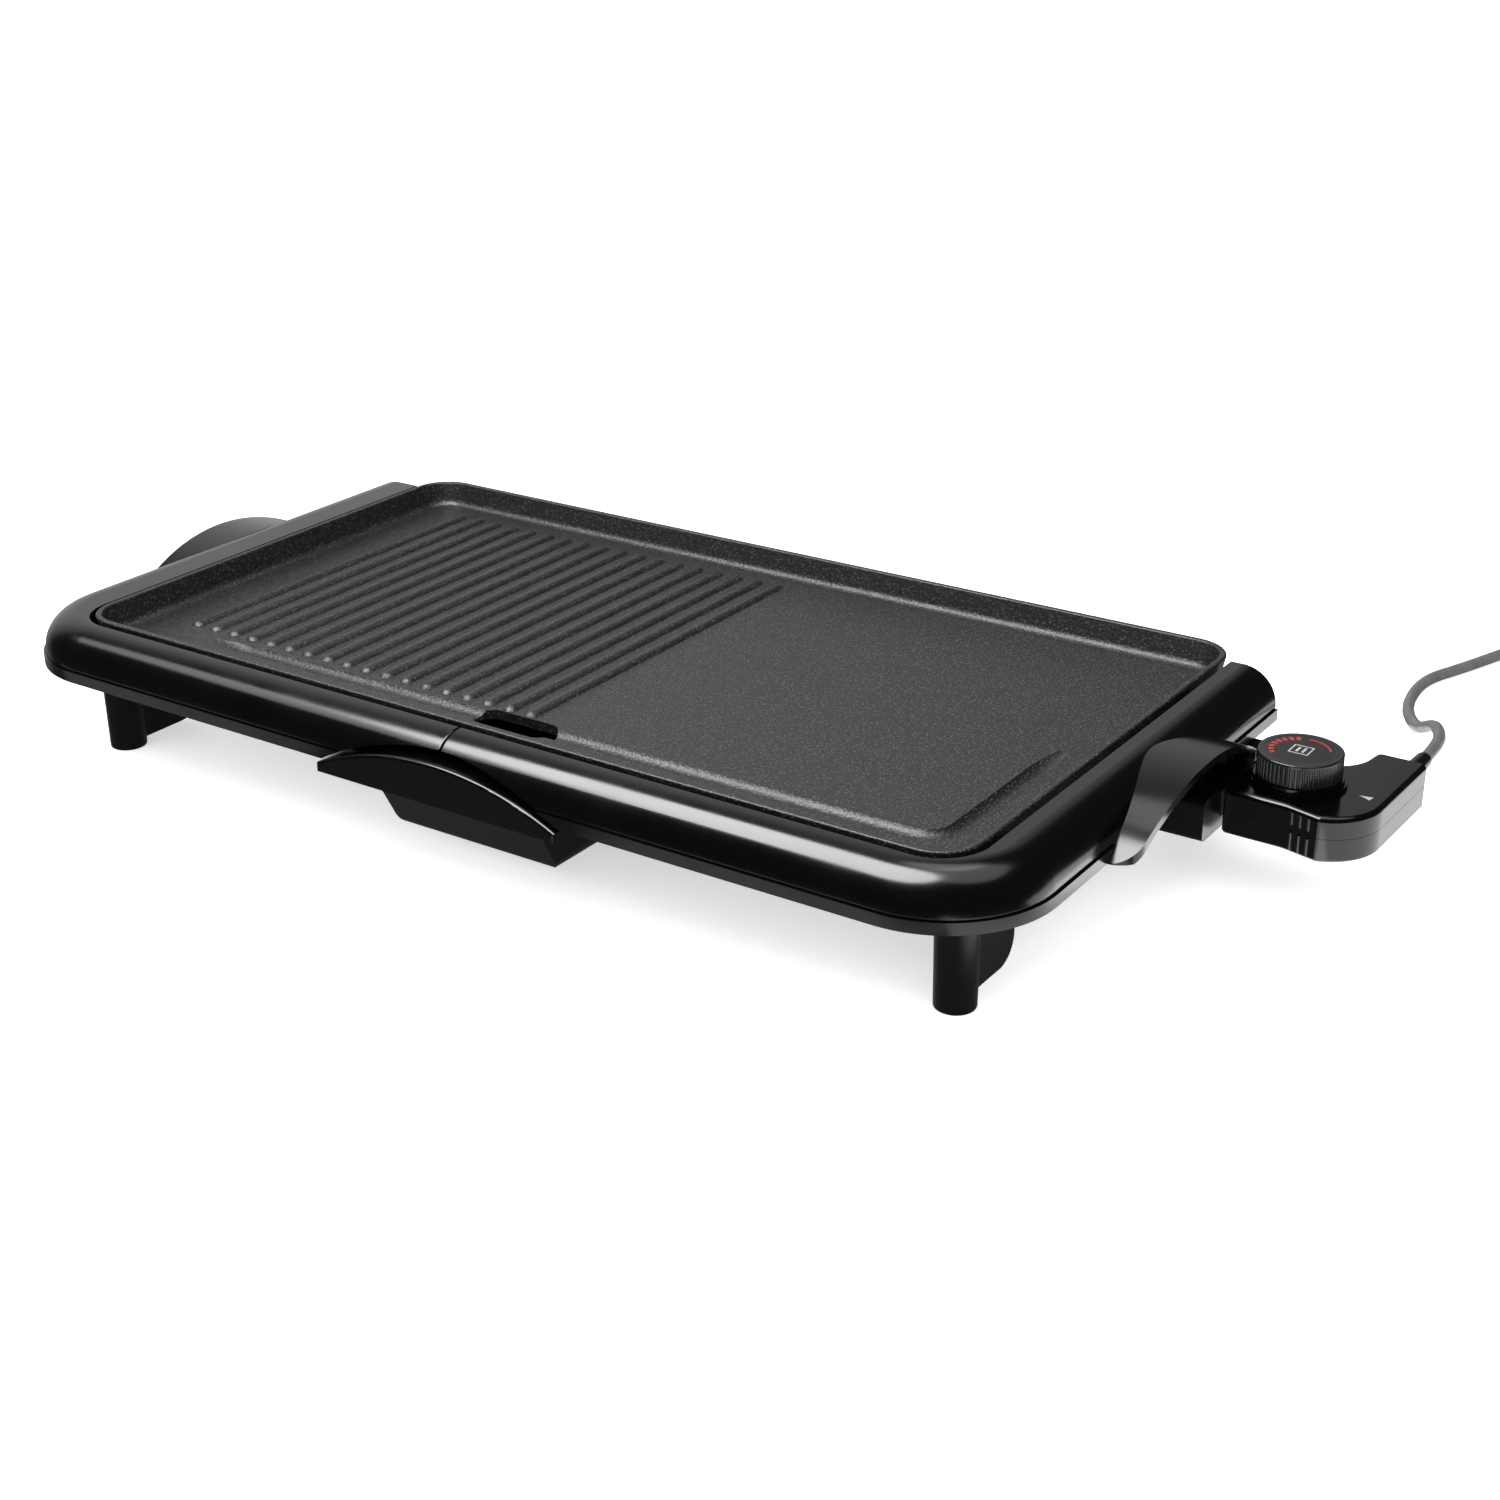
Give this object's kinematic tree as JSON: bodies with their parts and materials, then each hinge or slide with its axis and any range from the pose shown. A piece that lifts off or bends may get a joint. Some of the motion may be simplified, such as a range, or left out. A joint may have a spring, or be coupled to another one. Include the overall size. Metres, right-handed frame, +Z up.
{
  "type": "electric griddle",
  "caption": "Table-top electric griddle with a half-ribbed die-cast plate, a moulded base with handles and legs, a pull-out drip tray and a detachable heat control on a cord.",
  "frame": {"origin": "on the table, under the middle of the footprint of the griddle and its control, with the cord left out", "axes": "+Z up, +X to the user's right, towards the heat control, -Y towards the user and the drip tray"},
  "size_m": [0.758, 0.646, 0.08],
  "materials": {
    "plate_coating": "satin",
    "element_steel": "satin",
    "nickel": "satin",
    "ceramic": "matt",
    "zinc_steel": "satin",
    "base_black": "gloss",
    "leg_black": "satin",
    "tray_black": "satin",
    "control_black": "satin",
    "ceramic_dark": "matt",
    "bimetal": "satin",
    "brass": "satin",
    "knob_black": "satin",
    "dial_face": "satin",
    "cord_black": "satin",
    "tie_plastic": "matt"
  },
  "bodies": {
    "griddle": {"cooking_plate": "plate_coating", "heating_element": "element_steel", "terminal_pins": "nickel", "terminal_holder": "ceramic", "element_clamps": "zinc_steel", "clamp_screws": "zinc_steel", "base_left": "base_black", "base_right": "base_black", "left_handle": "base_black", "right_handle": "base_black", "handle_screws": "zinc_steel", "leg_front_left": "leg_black", "leg_front_right": "leg_black", "leg_rear_left": "leg_black", "leg_rear_right": "leg_black", "leg_screws": "zinc_steel", "tray_guide": "zinc_steel", "guide_screws": "zinc_steel", "socket_housing": "leg_black", "socket_screws": "zinc_steel"},
    "tray": {"drip_tray": "tray_black", "tray_front": "base_black", "tray_screws": "zinc_steel"},
    "control": {"control_top_shell": "control_black", "control_bottom_shell": "control_black", "shell_screws": "zinc_steel", "contact_block": "ceramic_dark", "contact_sleeves": "nickel", "sensor_rod": "nickel", "thermostat_frame": "zinc_steel", "blade_insulators": "ceramic", "bimetal_blade": "bimetal", "contact_leaf": "bimetal", "shaft_bushing": "brass", "dial_bezel": "control_black", "strain_relief": "cord_black", "power_cord": "cord_black", "cord_coil": "cord_black", "coil_tie": "tie_plastic", "cord_tail": "cord_black", "plug_body": "cord_black", "plug_blades": "nickel"},
    "knob": {"knob": "knob_black", "dial_disc": "dial_face", "knob_shaft": "zinc_steel"}
  },
  "joints": [
    {"name": "tray_slide", "type": "slide", "parent": "griddle", "child": "tray", "axis": [0, -1, 0], "range_m": [0, 0.09]},
    {"name": "control_pull", "type": "slide", "parent": "griddle", "child": "control", "axis": [1, 0, 0], "range_m": [0, 0.07]},
    {"name": "knob_turn", "type": "hinge", "parent": "control", "child": "knob", "pos_m": [0.30705, 0.07967, 0.06], "axis": [0, 0, -1], "range_deg": [0, 270]}
  ]
}
